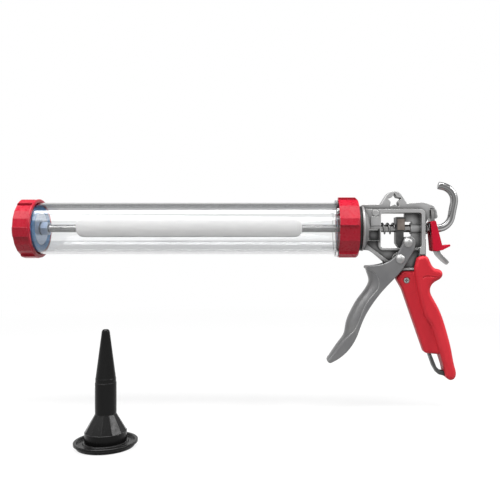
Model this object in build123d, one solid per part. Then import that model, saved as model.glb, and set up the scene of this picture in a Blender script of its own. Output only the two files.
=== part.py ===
from build123d import *
import math
import os

# Caulking gun for foil sausages, in millimetres. The push rod lies on the X axis, +Z is up.
# X = 0 is the outer face of the front cap, and the handle is at the +X end.

# Barrel and caps
TUBE_OD = 54.0
TUBE_WALL = 2.0
TUBE_LENGTH = 338.3
COLLAR_STEP = 2.6
COLLAR_THICKNESS = 3.2
COLLAR_CHAMFER = 0.5
THREAD_STEP = 1.0
CAP_WALL = 4.0
CAP_LENGTH = 17.6
CAP_SHELL = 1.9
CAP_LIP_SHELL = 3.6
CAP_LIP_LENGTH = 1.8
CAP_LIP_CHAMFER = 0.6
CAP_RIB_ANGLE = -9.0
CAP_RIB_SPAN = 18.0
CAP_FACETS = 3
NOZZLE_SEAT_WIDTH = 9.0
RING_LENGTH = 20.4
RING_WALL = 3.0
RING_SHELL = 3.5
RING_RIB_ANGLE = 10.0
RING_RIB_SPAN = 13.0
RING_FACETS = 2
RIBS = 5
RIB_HEIGHT = 2.2
EDGE_CHAMFER = 1.4

# Swivel joint between barrel and frame
SWIVEL_GAP = 0.3
END_PLATE_STEP = 0.4
END_PLATE_THICKNESS = 3.0
WASHER_INSET = 3.6
WASHER_THICKNESS = 2.9
SPIGOT_RADIUS = 10.0
SPIGOT_NUT_WIDTH = 30.0
SPIGOT_NUT_HEIGHT = 7.0

# Push rod and piston
ROD_DIAMETER = 8.0
ROD_CLEARANCE = 0.08
ROD_END_ROUNDING = 0.9
SNUG = 0.03
PISTON_FRONT = 7.0
PISTON_CLEARANCE = 0.4
PISTON_LENGTH = 11.5
PISTON_WEB = 2.5
PISTON_LIP_WIDTH = 7.1
PISTON_PLATE_THICKNESS = 2.0
FRONT_RECESS_RADIUS = 9.0
ROD_NUT_WIDTH = 13.0
ROD_NUT_HEIGHT = 6.5
SPRING_WASHER_RADIUS = 6.4
SPRING_WASHER_THICKNESS = 1.6
HOOK_SETBACK = 91.2
HOOK_LEAN = 8.2
HOOK_HEIGHT = 41.3
HOOK_TIP_REACH = 19.6
HOOK_TIP_RISE = 3.9
HOOK_BEND = 15.0

# Frame casting, measured from the handle's own station on the rod axis
FRAME_WIDTH = 20.0
TOP_BAR_WIDTH = 12.6
FRAME_LOWER_WIDTH = 15.0
LOWER_WEB_WIDTH = 8.0
FLANGE_INSET = 3.4
FLANGE_FRONT = -2.1
FLANGE_LENGTH = 3.4
FLANGE_CHAMFER = 0.9
GUSSET_LENGTH = 5.0
GUSSET_RADIUS = 13.0
PANEL_TOP = 19.8
PANEL_REAR = 64.2
PANEL_CORNER = 5.0
WINDOW_FRONT = 18.4
WINDOW_REAR = 60.6
WINDOW_TOP = 16.1
WINDOW_BOTTOM = -20.5
WINDOW_CORNER = 3.0
WINDOW_RIM = 2.2
POST_FRONT = 58.5
POST_REAR = 65.4
POST_BOTTOM = -27.0
BLOCK_BASE = -13.0
CHEEK_ROOM_TOP = -8.0
FRAME_BOTTOM = -43.3
BOTTOM_LIP = 2.0
WEB_THICKNESS = 6.0
BOSS_RADIUS = 5.9
BOSS_FRONT = 50.2
FRONT_PAD = (8.0, 17.9, 2.7, 11.8)
FRONT_BUMP = (12.8, 15.7)
FRONT_BUMP_RADIUS = 3.3
BUMP_HEIGHT = 0.8
POCKET = (5.9, 17.3, -12.8, -0.4)
POCKET_FLOOR = 2.5
PIVOT_BOSS_RADIUS = 7.0
TAB_TOP = 38.9
TAB_TOP_RADIUS = 9.4
TAB_EDGE = 1.2
STAR_CENTRE = (33.0, 29.0)
STAR_RADIUS = 7.9
STAR_INNER_RADIUS = 4.2
TANG_THICKNESS = 9.0
LOOP_WIDTH = 9.0

# Trigger and drive
PIVOT = (38.0, -31.9)
DRIVE_PIN = (46.0, -15.2)
PIN_RADIUS = 3.0
PIN_CLEARANCE = 0.05
RIVET_HEAD_RADIUS = 4.9
RIVET_HEAD_HEIGHT = 2.4
CHEEK_GAP = 0.5
CHEEK_THICKNESS = 4.2
CHEEK_ROUNDING = 1.0
FORK_SLOT_RADIUS = 30.0
FINGER_WIDTH = 23.2
FINGER_DEPTH = 13.0
FINGER_ROUNDING = 9.0
BLOCK_FRONT = 34.6
BLOCK_FLANGE = 0.9
BLOCK_WIDTH = 15.0
LEG_WIDTH = 11.0
DRIVE_SEAT = -1.8
BLOCK_TOP = 11.7
BLOCK_BOTTOM = -19.3
PIN_TO_BLOCK = 0.3
DRIVE_COLLAR_LENGTH = 8.3
DRIVE_COLLAR_WIDTH = 13.8
DRIVE_COLLAR_TOP = 10.2
DRIVE_COLLAR_ROUNDING = 0.8
RETURN_WIRE = 2.0
RETURN_TURNS = 2.5
RETURN_RADIUS = 5.3

# Release lever
RELEASE_PIVOT = (72.0, 16.8)
RELEASE_TILT = 5.4
PLATE_THICKNESS = 3.0
PLATE_WIDTH = 17.0
PLATE_TOP = 2.8
PLATE_HOLE_RADIUS = 5.0
TONGUE_START = 34.0
TONGUE_ANGLE = 18.0
TONGUE_TIP_ANGLE = 40.0
TONGUE_KNEE = 11.0
TONGUE_BEND = 9.0
TONGUE_LENGTH = 25.0
TONGUE_WIDTH = 16.4
PAD_WIDTH = 20.0
PAD_ROD_HOLE = 7.4
RELEASE_WIRE = 1.0
RELEASE_TURNS = 1.5
RELEASE_RADIUS = 5.6

# Grip
PANEL_WIDTH = 14.6
STRAP_WIDTH = 23.0
STRAP_ROUNDING = 4.2
PANEL_ROUNDING = 3.2
CREASE_RADIUS = 0.8
GRIP_SPLIT_GAP = 0.1
BEYOND = 300.0
GRIP_CLEARANCE = 0.15
SCREW_PLACE = (45.4, -54.2)
SCREW_SEAT_RADIUS = 3.5
SCREW_SEAT_DEPTH = 0.8
SCREW_HEAD_RADIUS = 2.8
SCREW_HEAD_HEIGHT = 1.6
SCREW_SHANK_RADIUS = 1.6
SCREW_DEPTH = 3.0
CROSS_LENGTH = 3.8
CROSS_WIDTH = 1.0
CROSS_DEPTH = 0.9

# Nozzle, which stands beside the gun
NOZZLE_PLACE = (122.8, -125.0, -187.9)
NOZZLE_HEIGHT = 98.0
NOZZLE_FLANGE_INSET = 0.7
NOZZLE_HUB_CLEARANCE = 0.7
NOZZLE_BODY_RADIUS = 8.8
NOZZLE_TIP_RADIUS = 3.2
NOZZLE_WALL = 1.8
NOZZLE_HUB_TOP = 12.6
NOZZLE_BODY_BASE = 27.3
NOZZLE_BODY_TOP = 53.4
NOZZLE_MOUTH_RADIUS = 1.7
NOZZLE_FLATS = 12
NOZZLE_FLAT_TURN = 3.6

# Radii that follow the tube
TUBE_RADIUS = TUBE_OD / 2
BORE_RADIUS = TUBE_RADIUS - TUBE_WALL
COLLAR_RADIUS = TUBE_RADIUS + COLLAR_STEP
THREAD_RADIUS = TUBE_RADIUS + THREAD_STEP
CAP_RADIUS = TUBE_RADIUS + CAP_SHELL
CAP_LIP_RADIUS = TUBE_RADIUS + CAP_LIP_SHELL
NOZZLE_OPENING_RADIUS = TUBE_RADIUS - NOZZLE_SEAT_WIDTH
RING_RADIUS = TUBE_RADIUS + RING_SHELL
END_PLATE_RADIUS = TUBE_RADIUS + END_PLATE_STEP
WASHER_RADIUS = TUBE_RADIUS - WASHER_INSET
FLANGE_RADIUS = TUBE_RADIUS - FLANGE_INSET
PISTON_RADIUS = BORE_RADIUS - PISTON_CLEARANCE
PISTON_PLATE_RADIUS = PISTON_RADIUS - PISTON_LIP_WIDTH
NOZZLE_FLANGE_RADIUS = TUBE_RADIUS - NOZZLE_FLANGE_INSET
NOZZLE_HUB_RADIUS = NOZZLE_OPENING_RADIUS - NOZZLE_HUB_CLEARANCE

# Stations along the rod axis
ROD_RADIUS = ROD_DIAMETER / 2
TUBE_FRONT = CAP_WALL + SWIVEL_GAP
TUBE_REAR = TUBE_FRONT + TUBE_LENGTH
PLATE_FRONT = TUBE_REAR + SWIVEL_GAP
PLATE_REAR = PLATE_FRONT + END_PLATE_THICKNESS
RING_REAR = PLATE_REAR + SWIVEL_GAP + RING_WALL
RING_FRONT = RING_REAR - RING_LENGTH
FRAME_X = RING_REAR + SWIVEL_GAP + WASHER_THICKNESS
SPIGOT_FRONT = PLATE_FRONT - SPIGOT_NUT_HEIGHT
CHEEK_INNER = FRAME_LOWER_WIDTH / 2 + CHEEK_GAP
CHEEK_OUTER = CHEEK_INNER + CHEEK_THICKNESS
WEB_REAR_OF_PIN = DRIVE_PIN[0] + PIN_RADIUS + 2.5
LEG_REAR = DRIVE_PIN[0] - PIN_RADIUS - PIN_TO_BLOCK
FLANGE_REAR = FLANGE_FRONT + FLANGE_LENGTH
HANDLE_X = FRAME_X - FLANGE_FRONT
AT_FRAME = Location((HANDLE_X, 0, 0))


def turned(points):
    """Solid of revolution about the rod axis from (x, radius) points."""
    return revolve(make_face(Polyline(*points, close=True)), Axis.X)


def side_face(corners):
    """Face in the XZ plane from (x, z, corner radius) points."""
    points = [(x, z) for x, z, _ in corners]
    radii = [r for _, _, r in corners]
    outline = FilletPolyline(*points, radius=radii, close=True)
    return Plane.XZ * make_face(outline)


def slab(corners, width):
    """Side profile spread evenly to both sides of the middle plane."""
    return extrude(side_face(corners), width / 2, both=True)


def box_between(x0, x1, z0, z1, width):
    return Location(((x0 + x1) / 2, 0, (z0 + z1) / 2)) * Box(x1 - x0, width, z1 - z0)


def rod_along_x(radius, x0, x1):
    return Location(((x0 + x1) / 2, 0, 0), (0, 90, 0)) * Cylinder(radius, x1 - x0)


def rod_along_y(radius, place, y0, y1):
    middle = Location((place[0], (y0 + y1) / 2, place[1]), (90, 0, 0))
    return middle * Cylinder(radius, y1 - y0)


def hex_nut(width, height, hole_radius, x0):
    outline = Plane.YZ.offset(x0) * RegularPolygon(width / 2, 6, major_radius=False)
    return extrude(outline, height) - rod_along_x(hole_radius, x0 - 1, x0 + height + 1)


def ribbed_prism(radius, rib_angle, rib_span, facets, x0, x1):
    """Grip body of a cap: raised ribs with runs of flat facets between them."""
    period = 360 / RIBS
    step = (period - rib_span) / facets
    points = []
    for rib in range(RIBS):
        start = 180 - rib_angle + rib * period - rib_span / 2
        end = start + rib_span
        corners = [(start, radius), (start, radius + RIB_HEIGHT), (end, radius + RIB_HEIGHT), (end, radius)]
        corners += [(end + k * step, radius) for k in range(1, facets)]
        for angle, reach in corners:
            turn = math.radians(angle)
            points.append((reach * math.cos(turn), reach * math.sin(turn)))
    outline = Plane.YZ.offset(x0) * make_face(Polyline(*points, close=True))
    return extrude(outline, x1 - x0)


def front_cap():
    length = CAP_LENGTH
    lip_x = length - CAP_LIP_LENGTH
    body = ribbed_prism(CAP_RADIUS, CAP_RIB_ANGLE, CAP_RIB_SPAN, CAP_FACETS, 0, lip_x)
    rib_top = CAP_RADIUS + RIB_HEIGHT
    taper = turned([(0, 0), (0, rib_top - EDGE_CHAMFER), (EDGE_CHAMFER, rib_top),
                    (length, rib_top + RIB_HEIGHT), (length, 0)])
    lip = turned([(lip_x, 0), (lip_x, CAP_LIP_RADIUS), (length - CAP_LIP_CHAMFER, CAP_LIP_RADIUS),
                  (length, CAP_LIP_RADIUS - CAP_LIP_CHAMFER), (length, 0)])
    inside = rod_along_x(TUBE_RADIUS + SWIVEL_GAP, CAP_WALL, length + 1)
    opening = rod_along_x(NOZZLE_OPENING_RADIUS, -1, CAP_WALL + 1)
    return (body & taper) + lip - inside - opening


def barrel_tube():
    collar_front = RING_FRONT - COLLAR_THICKNESS
    return turned([(TUBE_FRONT, BORE_RADIUS), (TUBE_FRONT, TUBE_RADIUS), (collar_front, TUBE_RADIUS),
                   (collar_front, COLLAR_RADIUS - COLLAR_CHAMFER),
                   (collar_front + COLLAR_CHAMFER, COLLAR_RADIUS),
                   (RING_FRONT, COLLAR_RADIUS), (RING_FRONT, THREAD_RADIUS),
                   (TUBE_REAR, THREAD_RADIUS), (TUBE_REAR, BORE_RADIUS)])


def rear_ring():
    body = ribbed_prism(RING_RADIUS, RING_RIB_ANGLE, RING_RIB_SPAN, RING_FACETS, RING_FRONT, RING_REAR)
    top = RING_RADIUS + RIB_HEIGHT
    front_chamfer = EDGE_CHAMFER * 0.4
    rear_chamfer = EDGE_CHAMFER * 2
    taper = turned([(RING_FRONT, 0), (RING_FRONT, top - front_chamfer), (RING_FRONT + front_chamfer, top),
                    (RING_REAR - rear_chamfer, top), (RING_REAR, top - rear_chamfer), (RING_REAR, 0)])
    inside = rod_along_x(THREAD_RADIUS + SWIVEL_GAP, RING_FRONT - 1, RING_REAR - RING_WALL)
    neck = rod_along_x(SPIGOT_RADIUS + SWIVEL_GAP, RING_FRONT, RING_REAR + 1)
    return (body & taper) - inside - neck


def swivel_washer():
    x0 = FRAME_X - WASHER_THICKNESS
    ring = rod_along_x(WASHER_RADIUS, x0, FRAME_X)
    ring = fillet(ring.edges().filter_by(GeomType.CIRCLE), WASHER_THICKNESS * 0.3)
    return ring - rod_along_x(SPIGOT_RADIUS + SNUG, x0 - 1, FRAME_X + 1)


def end_plate():
    disc = rod_along_x(END_PLATE_RADIUS, PLATE_FRONT, PLATE_REAR)
    return disc - rod_along_x(SPIGOT_RADIUS + SNUG, PLATE_FRONT - 1, PLATE_REAR + 1)


def spigot_nut():
    return hex_nut(SPIGOT_NUT_WIDTH, SPIGOT_NUT_HEIGHT, SPIGOT_RADIUS + SNUG, SPIGOT_FRONT)


def star_hole():
    points = []
    for k in range(10):
        reach = STAR_RADIUS if k % 2 == 0 else STAR_INNER_RADIUS
        turn = math.radians(90 + 36 * k)
        points.append((STAR_CENTRE[0] + reach * math.cos(turn), STAR_CENTRE[1] + reach * math.sin(turn)))
    return slab([(x, z, 0.4) for x, z in points], TOP_BAR_WIDTH + 2)


def window_cut(grow, width):
    return slab([(WINDOW_FRONT - grow, WINDOW_TOP + grow, WINDOW_CORNER + grow),
                 (WINDOW_REAR + grow, WINDOW_TOP + grow, WINDOW_CORNER + grow),
                 (WINDOW_REAR + grow, WINDOW_BOTTOM - grow, WINDOW_CORNER + grow),
                 (WINDOW_FRONT - grow, WINDOW_BOTTOM - grow, WINDOW_CORNER + grow)], width)


def upper_outline():
    """Top bar, front block, rear post and the claw over the release plate."""
    front = FLANGE_FRONT + 1
    block_front = FLANGE_REAR - 2
    return [(front, 24.2, 0.8), (17.3, 24.8, 20), (45.2, 25.8, 20), (62.5, 27.0, 5), (70.2, 24.6, 2),
            (73.2, 23.4, 2.5), (76.6, 18.8, 4), (78.0, 11.6, 1.2), (75.8, 9.6, 0.9), (74.5, 12.0, 0.8),
            (74.0, 20.4, 0.6), (69.6, 20.6, 0.6), (69.2, 11.5, 1.5), (66.8, 8.0, 1.5), (POST_REAR, 5.0, 1.5),
            (POST_REAR, POST_BOTTOM, 0), (POST_FRONT, POST_BOTTOM, 0), (POST_FRONT, CHEEK_ROOM_TOP, 0),
            (22.0, CHEEK_ROOM_TOP, 0), (22.0, BLOCK_BASE, 0), (block_front, BLOCK_BASE, 0),
            (block_front, 12.0, 0), (front, 12.0, 0)]


def lower_outline():
    """Narrow body between the trigger cheeks, with the pivot in it."""
    return [(FLANGE_REAR - 2, -11.0, 0), (POST_REAR, -11.0, 0), (POST_REAR, -28.0, 4),
            (67.0, FRAME_BOTTOM, 1.5), (30.0, FRAME_BOTTOM, 4), (21.4, -33.8, 8), (12.6, -26.2, 8),
            (8.0, -23.0, 6), (FLANGE_REAR - 2, -22.4, 0)]


def diagonal_rib():
    return slab([(1.8, -15.4, 0), (4.1, -17.0, 2), (28.0, -35.0, 0), (24.0, -40.0, 0), (1.8, -25.0, 0)],
                FRAME_LOWER_WIDTH)


def lower_body():
    """Thin web with a diagonal rib, a rim under the window, the pivot boss, a bottom lip and the post."""
    rim = window_cut(WINDOW_RIM, FRAME_LOWER_WIDTH)
    lip = box_between(30.0, 70.0, FRAME_BOTTOM, FRAME_BOTTOM + BOTTOM_LIP, FRAME_LOWER_WIDTH)
    post = box_between(POST_FRONT, 70.0, FRAME_BOTTOM, 0, FRAME_LOWER_WIDTH)
    boss = rod_along_y(PIVOT_BOSS_RADIUS, PIVOT, -FRAME_LOWER_WIDTH / 2, FRAME_LOWER_WIDTH / 2)
    raised = diagonal_rib() + rim + lip + post + boss
    return slab(lower_outline(), LOWER_WEB_WIDTH) + (raised & slab(lower_outline(), FRAME_LOWER_WIDTH))


def raised_panel():
    """Thicker side of the frame round the window, below a ledge along the top bar."""
    field = slab([(FLANGE_REAR - 2, PANEL_TOP, 0), (PANEL_REAR, PANEL_TOP, PANEL_CORNER),
                  (PANEL_REAR, FRAME_BOTTOM, 0), (FLANGE_REAR - 2, FRAME_BOTTOM, 0)], FRAME_WIDTH + 2)
    return slab(upper_outline(), FRAME_WIDTH) & field


def front_flange():
    """Round flange behind the swivel washer, with a short gusset to the frame."""
    rim = FLANGE_RADIUS
    edge = FLANGE_CHAMFER
    gusset_rear = FLANGE_REAR + GUSSET_LENGTH
    return turned([(FLANGE_FRONT, 0), (FLANGE_FRONT, rim - edge), (FLANGE_FRONT + edge, rim),
                   (FLANGE_REAR - edge, rim), (FLANGE_REAR, rim - edge), (FLANGE_REAR, rim - 2.5 * edge),
                   (gusset_rear, GUSSET_RADIUS), (gusset_rear, 0)])


def hang_tab():
    tab = slab([(15.5, 20.0, 0), (27.1, TAB_TOP, TAB_TOP_RADIUS), (37.7, TAB_TOP, TAB_TOP_RADIUS),
                (50.9, 20.0, 0)], TOP_BAR_WIDTH)
    return fillet(outer_edges(tab, TOP_BAR_WIDTH), TAB_EDGE)


def window_webs():
    """Thin webs behind the drive block, and the boss that the rod leaves through."""
    upper = box_between(44.3, WINDOW_REAR + 1, 7.0, WINDOW_TOP + 1, WEB_THICKNESS)
    lower = box_between(WEB_REAR_OF_PIN, WINDOW_REAR + 1, WINDOW_BOTTOM - 1, 8.0, WEB_THICKNESS)
    return upper + lower + rod_along_x(BOSS_RADIUS, BOSS_FRONT, WINDOW_REAR + 1)


def front_details():
    """Raised pad and round bump on each side of the front block."""
    x0, x1, z0, z1 = FRONT_PAD
    reach = FRAME_WIDTH / 2 + BUMP_HEIGHT
    return box_between(x0, x1, z0, z1, 2 * reach) + rod_along_y(FRONT_BUMP_RADIUS, FRONT_BUMP, -reach, reach)


def front_pockets():
    x0, x1, z0, z1 = POCKET
    pair = box_between(x0, x1, z0, z1, 4 * FRAME_WIDTH)
    return pair - box_between(x0 - 1, x1 + 1, z0 - 1, z1 + 1, 2 * POCKET_FLOOR)


def tang_outline():
    """Tongue of the frame inside the grip."""
    return [(40.5, FRAME_BOTTOM + 2, 0), (64.0, FRAME_BOTTOM + 2, 0), (63.5, -62.0, 12),
            (78.0, -94.0, 20), (86.5, -125.0, 20), (91.5, -152.5, 1.4), (88.2, -153.5, 1.4),
            (82.6, -131.0, 6), (82.6, -126.0, 2.0), (66.5, -126.0, 2.0), (47.0, -72.0, 15),
            (41.0, -56.0, 6)]


def loop_outline():
    """Bottom loop, from the front of the tang round to the tip of the grip."""
    return [(65.8, -122.0, 0), (73.2, -143.5, 9), (78.0, -152.0, 6), (90.0, -154.8, 0.8),
            (90.0, -150.2, 0.8), (81.0, -148.4, 4), (77.0, -144.4, 5), (71.6, -131.0, 4), (70.2, -122.0, 0)]


def frame_casting():
    body = slab(upper_outline(), TOP_BAR_WIDTH) + raised_panel() + lower_body()
    body = body - window_cut(0, FRAME_WIDTH + 2)
    spigot = rod_along_x(SPIGOT_RADIUS, SPIGOT_FRONT - HANDLE_X, FLANGE_REAR)
    body = body + front_flange() + spigot + front_details() - front_pockets()
    body = body + window_webs() + hang_tab() - star_hole()
    body = body + slab(tang_outline(), TANG_THICKNESS) + slab(loop_outline(), LOOP_WIDTH)
    rod_hole = rod_along_x(ROD_RADIUS + ROD_CLEARANCE, SPIGOT_FRONT - HANDLE_X - 1, POST_REAR + 5)
    pivot_hole = rod_along_y(PIN_RADIUS + SNUG, PIVOT, -FRAME_WIDTH, FRAME_WIDTH)
    body = body - rod_hole - pivot_hole
    for side in (-1, 1):
        body = body - grip_screw(side, SNUG)
    return AT_FRAME * body


def fork_slot():
    return rod_along_y(FORK_SLOT_RADIUS, PIVOT, -CHEEK_INNER, CHEEK_INNER)


def curved_slab(edges, width):
    """Side profile made of joined curves, spread evenly to both sides of the middle plane."""
    return extrude(Plane.XZ * make_face(edges), width / 2, both=True)


def trigger_back():
    """Round end over the drive pin and the back edge down to the tip."""
    round_end = ThreePointArc((41.0, -13.8), (47.3, -8.5), (53.7, -15.6))
    back = Spline((53.7, -15.6), (52.2, -22.4), (45.8, -33.4), (39.8, -43.2), (32.2, -52.0), (22.5, -62.0),
                  (9.3, -78.6), (-0.9, -96.9), (-6.2, -110.9), (-13.6, -123.8), (-23.0, -133.1),
                  (-32.6, -138.8))
    return [round_end, back]


def trigger_top(horn):
    """Front horn and the upper edge back to the round end."""
    nose = ThreePointArc(horn, (3.2, -40.0), (5.0, -38.7))
    top = Spline((5.0, -38.7), (13.7, -38.2), (21.0, -36.6), (27.1, -33.9), (32.4, -29.6), (36.6, -24.0),
                 (39.4, -18.4), (41.0, -13.8))
    return [nose, top]


def side_plate_edges():
    """Flat side of the trigger, in front of which the finger surface is set back behind a ridge."""
    tip = ThreePointArc((-32.6, -138.8), (-35.3, -138.8), (-36.0, -136.5))
    ridge = Spline((-36.0, -136.5), (-29.8, -128.9), (-18.4, -113.9), (-9.8, -105.8), (-4.1, -94.5),
                   (2.8, -78.2), (8.4, -70.2), (14.6, -62.4), (16.0, -55.0), (12.6, -47.5), (8.4, -44.4),
                   (4.0, -41.9))
    return trigger_back() + [tip, ridge] + trigger_top((4.0, -41.9))


def finger_front():
    """Front edge of the finger surface, from under the horn to past the tip."""
    return [(3.6, -41.4), (5.6, -47.9), (7.0, -54.5), (5.4, -59.5), (-5.2, -74.4), (-11.0, -84.5),
            (-14.9, -92.6), (-17.5, -101.5), (-19.4, -110.8), (-23.6, -117.0), (-28.6, -123.8),
            (-33.7, -131.3), (-36.8, -136.4), (-39.2, -140.6)]


def finger_limit_edges():
    """Outer limit of the whole trigger, just clear of the finger surface."""
    tip = ThreePointArc((-32.6, -138.8), (-35.8, -139.1), (-37.2, -136.4))
    corners = [(-37.2, -136.4), (-60.0, -100.0), (-20.0, -50.0), (3.3, -41.2)]
    return trigger_back() + [tip, Polyline(*corners)] + trigger_top((3.3, -41.2))


def outer_edges(body, width):
    return body.edges().filter_by(lambda e: abs(abs(e.center().Y) - width / 2) < 0.01)


def rounded_slab(corners, width, rounding):
    """Side profile with its two outer outlines rounded over."""
    body = slab(corners, width)
    return fillet(outer_edges(body, width), rounding)


def finger_pad():
    """Rounded finger surface, carried along its front edge and trimmed to the trigger's outline."""
    path = Plane.XZ * Spline(*finger_front())
    half = FINGER_WIDTH / 2
    section = FilletPolyline((-half, FINGER_DEPTH), (-half, 0), (half, 0), (half, FINGER_DEPTH),
                             radius=[0.0, FINGER_ROUNDING, FINGER_ROUNDING, 0.0], close=True)
    start = Plane(origin=path @ 0, x_dir=(0, 1, 0), z_dir=path % 0)
    return sweep(start * make_face(section), path=path) & curved_slab(finger_limit_edges(), FINGER_WIDTH + 2)


def trigger():
    plate = curved_slab(side_plate_edges(), 2 * CHEEK_OUTER)
    plate = fillet(outer_edges(plate, 2 * CHEEK_OUTER), CHEEK_ROUNDING)
    body = plate + finger_pad() - fork_slot()
    for place, clearance in ((PIVOT, PIN_CLEARANCE), (DRIVE_PIN, SNUG)):
        body = body - rod_along_y(PIN_RADIUS + clearance, place, -CHEEK_OUTER - 1, CHEEK_OUTER + 1)
    return AT_FRAME * body


def rivet(place, half_length):
    """Round-head rivet across the gun."""
    body = rod_along_y(PIN_RADIUS, place, -half_length, half_length)
    ball_radius = (RIVET_HEAD_RADIUS ** 2 + RIVET_HEAD_HEIGHT ** 2) / (2 * RIVET_HEAD_HEIGHT)
    end = half_length + RIVET_HEAD_HEIGHT
    for side in (-1, 1):
        ball = Location((place[0], side * (end - ball_radius), place[1])) * Sphere(ball_radius)
        reach = sorted((side * half_length, side * (end + 1)))
        body = body + (ball & rod_along_y(ball_radius, place, reach[0], reach[1]))
    return AT_FRAME * body


def drive_bore():
    return rod_along_x(ROD_RADIUS + ROD_CLEARANCE, BLOCK_FRONT - 1, BLOCK_FRONT + 2 * DRIVE_COLLAR_LENGTH)


def drive_block():
    """Dark bracket round the drive collar: front flange, top plate and the leg that the pin pushes."""
    rear = BLOCK_FRONT + BLOCK_FLANGE + DRIVE_COLLAR_LENGTH
    flange = box_between(BLOCK_FRONT, BLOCK_FRONT + BLOCK_FLANGE, DRIVE_SEAT - 1, BLOCK_TOP, BLOCK_WIDTH)
    top = box_between(BLOCK_FRONT, rear, DRIVE_COLLAR_TOP, BLOCK_TOP, BLOCK_WIDTH)
    leg = slab([(BLOCK_FRONT, DRIVE_SEAT, 0), (LEG_REAR, DRIVE_SEAT, 0), (LEG_REAR, BLOCK_BOTTOM, 1.0),
                (BLOCK_FRONT + 2.5, BLOCK_BOTTOM, 1.5), (BLOCK_FRONT, BLOCK_BOTTOM + 4, 2.0)], LEG_WIDTH)
    return AT_FRAME * (flange + top + leg - drive_bore())


def drive_collar():
    x0 = BLOCK_FRONT + BLOCK_FLANGE
    block = box_between(x0, x0 + DRIVE_COLLAR_LENGTH, DRIVE_SEAT, DRIVE_COLLAR_TOP, DRIVE_COLLAR_WIDTH)
    rear_edges = block.faces().sort_by(Axis.X)[-1].edges().filter_by(Axis.Z)
    return AT_FRAME * (fillet(rear_edges, DRIVE_COLLAR_ROUNDING) - drive_bore())


def biarc(start, start_tangent, end, end_tangent):
    """Two tangent arcs from one point and direction to another."""
    chord = end - start
    both = start_tangent + end_tangent
    a = 2 * (1 - start_tangent.dot(end_tangent))
    b = 2 * chord.dot(both)
    reach = (-b + math.sqrt(b * b + 4 * a * chord.dot(chord))) / (2 * a)
    first = start + start_tangent * reach
    last = end - end_tangent * reach
    middle = (first + last) * 0.5
    arcs = [TangentArc(start, middle, tangent=start_tangent)]
    arcs.append(TangentArc(middle, end, tangent=(last - first).normalized()))
    return arcs


def coil_spring(x0, x1, radius, wire, turns, name):
    """One tube wound on the rod axis, square to it at the ends of the wire."""
    start = x0 + wire / 2
    rise = x1 - x0 - wire
    pitch = rise / turns
    slope = math.atan2(pitch, 2 * math.pi * radius)
    def point(turn):
        angle = 2 * math.pi * turn
        return Vector(start + pitch * turn, radius * math.cos(angle), radius * math.sin(angle))
    def tangent(turn):
        angle = 2 * math.pi * turn
        around = math.cos(slope)
        return Vector(math.sin(slope), -around * math.sin(angle), around * math.cos(angle))
    quarters = round(turns * 4)
    path = []
    for k in range(quarters):
        path += biarc(point(k / 4), tangent(k / 4), point((k + 1) / 4), tangent((k + 1) / 4))
    wire_section = Plane(point(0), z_dir=tangent(0)) * Circle(wire / 2)
    samples = [point(turns * k / 400) for k in range(401)]
    gap = min((p - q).length for i, p in enumerate(samples) for q in samples[i + 100:]) - wire
    print(name, "least gap between turns", round(gap, 2))
    return sweep(wire_section, path=Wire(path))


def return_spring():
    spring = coil_spring(WINDOW_FRONT + SNUG, BLOCK_FRONT - SNUG, RETURN_RADIUS, RETURN_WIRE, RETURN_TURNS,
                         "return_spring")
    return AT_FRAME * spring


def push_rod():
    front = PISTON_FRONT + 0.5
    corner = HANDLE_X + HOOK_SETBACK
    top = (corner + HOOK_LEAN, 0, HOOK_HEIGHT)
    tip = (top[0] - HOOK_TIP_REACH, 0, HOOK_HEIGHT + HOOK_TIP_RISE)
    path = FilletPolyline((front, 0, 0), (corner, 0, 0), top, tip, radius=HOOK_BEND)
    rod = sweep(Plane.YZ.offset(front) * Circle(ROD_RADIUS), path=path)
    ends = rod.faces().sort_by(Axis.X)
    tip_face = rod.faces().filter_by(GeomType.PLANE).sort_by(Axis.Z)[-1]
    return fillet(ends[0].edges() + tip_face.edges(), ROD_END_ROUNDING)


def piston_stations():
    web_rear = PISTON_FRONT + PISTON_LENGTH - PISTON_PLATE_THICKNESS
    return web_rear - PISTON_WEB, web_rear, web_rear + PISTON_PLATE_THICKNESS


def piston_seal():
    web_front, web_rear, rear = piston_stations()
    rim = PISTON_RADIUS
    cup = turned([(PISTON_FRONT, 0), (PISTON_FRONT, rim - 4.0), (PISTON_FRONT + 3.0, rim - 0.8),
                  (PISTON_FRONT + 4.5, rim - 0.8), (PISTON_FRONT + 6.0, rim), (rear - 0.5, rim),
                  (rear, rim - 0.5), (rear, 0)])
    plate_seat = rod_along_x(PISTON_PLATE_RADIUS + 0.2, web_rear, rear + 1)
    nut_recess = rod_along_x(FRONT_RECESS_RADIUS, PISTON_FRONT - 1, web_front)
    return cup - plate_seat - nut_recess - rod_along_x(ROD_RADIUS + SNUG, 0, rear + 5)


def piston_plate():
    _, web_rear, rear = piston_stations()
    disc = rod_along_x(PISTON_PLATE_RADIUS, web_rear, rear)
    disc = fillet(disc.faces().sort_by(Axis.X)[-1].edges(), 0.6)
    return disc - rod_along_x(ROD_RADIUS + SNUG, 0, rear + 5)


def piston_spring_washer():
    _, _, rear = piston_stations()
    x1 = rear + SPRING_WASHER_THICKNESS
    ring = rod_along_x(SPRING_WASHER_RADIUS, rear, x1) - rod_along_x(ROD_RADIUS + SNUG, 0, x1 + 5)
    cut = Location(((rear + x1) / 2, 0, SPRING_WASHER_RADIUS)) * Box(4, 1.0, 2 * SPRING_WASHER_RADIUS)
    return ring - cut


def piston_nut():
    _, _, rear = piston_stations()
    return hex_nut(ROD_NUT_WIDTH, ROD_NUT_HEIGHT, ROD_RADIUS + SNUG, rear + SPRING_WASHER_THICKNESS)


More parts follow.
